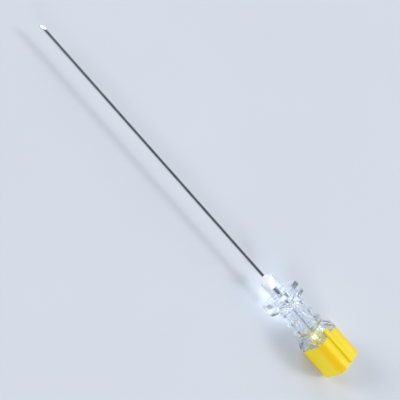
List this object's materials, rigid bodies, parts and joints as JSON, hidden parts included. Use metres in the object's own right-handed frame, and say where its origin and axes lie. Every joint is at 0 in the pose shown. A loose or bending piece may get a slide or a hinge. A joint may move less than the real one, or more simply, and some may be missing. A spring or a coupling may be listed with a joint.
{
  "type": "spinal needle",
  "caption": "Spinal needle with a clear finned hub, a bevelled steel cannula and a keyed square stylet cap that pulls straight out.",
  "frame": {"origin": "on the needle's axis, where the adhesive cone starts on the cannula", "axes": "+X along the needle's axis from the point towards the cap; +Z towards the bevel's open side, the notch and the key rib; the part rests on its -Z side"},
  "size_m": [0.12, 0.0094, 0.0097],
  "materials": {
    "cannula_steel": "polished",
    "stylet_steel": "polished",
    "clear_plastic": "gloss",
    "white_adhesive": "satin",
    "yellow_plastic": "satin"
  },
  "bodies": {
    "needle": {"cannula": "cannula_steel", "hub_adhesive": "white_adhesive", "needle_hub": "clear_plastic"},
    "stylet": {"stylet_wire": "stylet_steel", "stylet_cap": "yellow_plastic"}
  },
  "joints": [
    {"name": "stylet_slide", "type": "slide", "parent": "needle", "child": "stylet", "axis": [1, 0, 0], "range_m": [0, 0.116]}
  ]
}
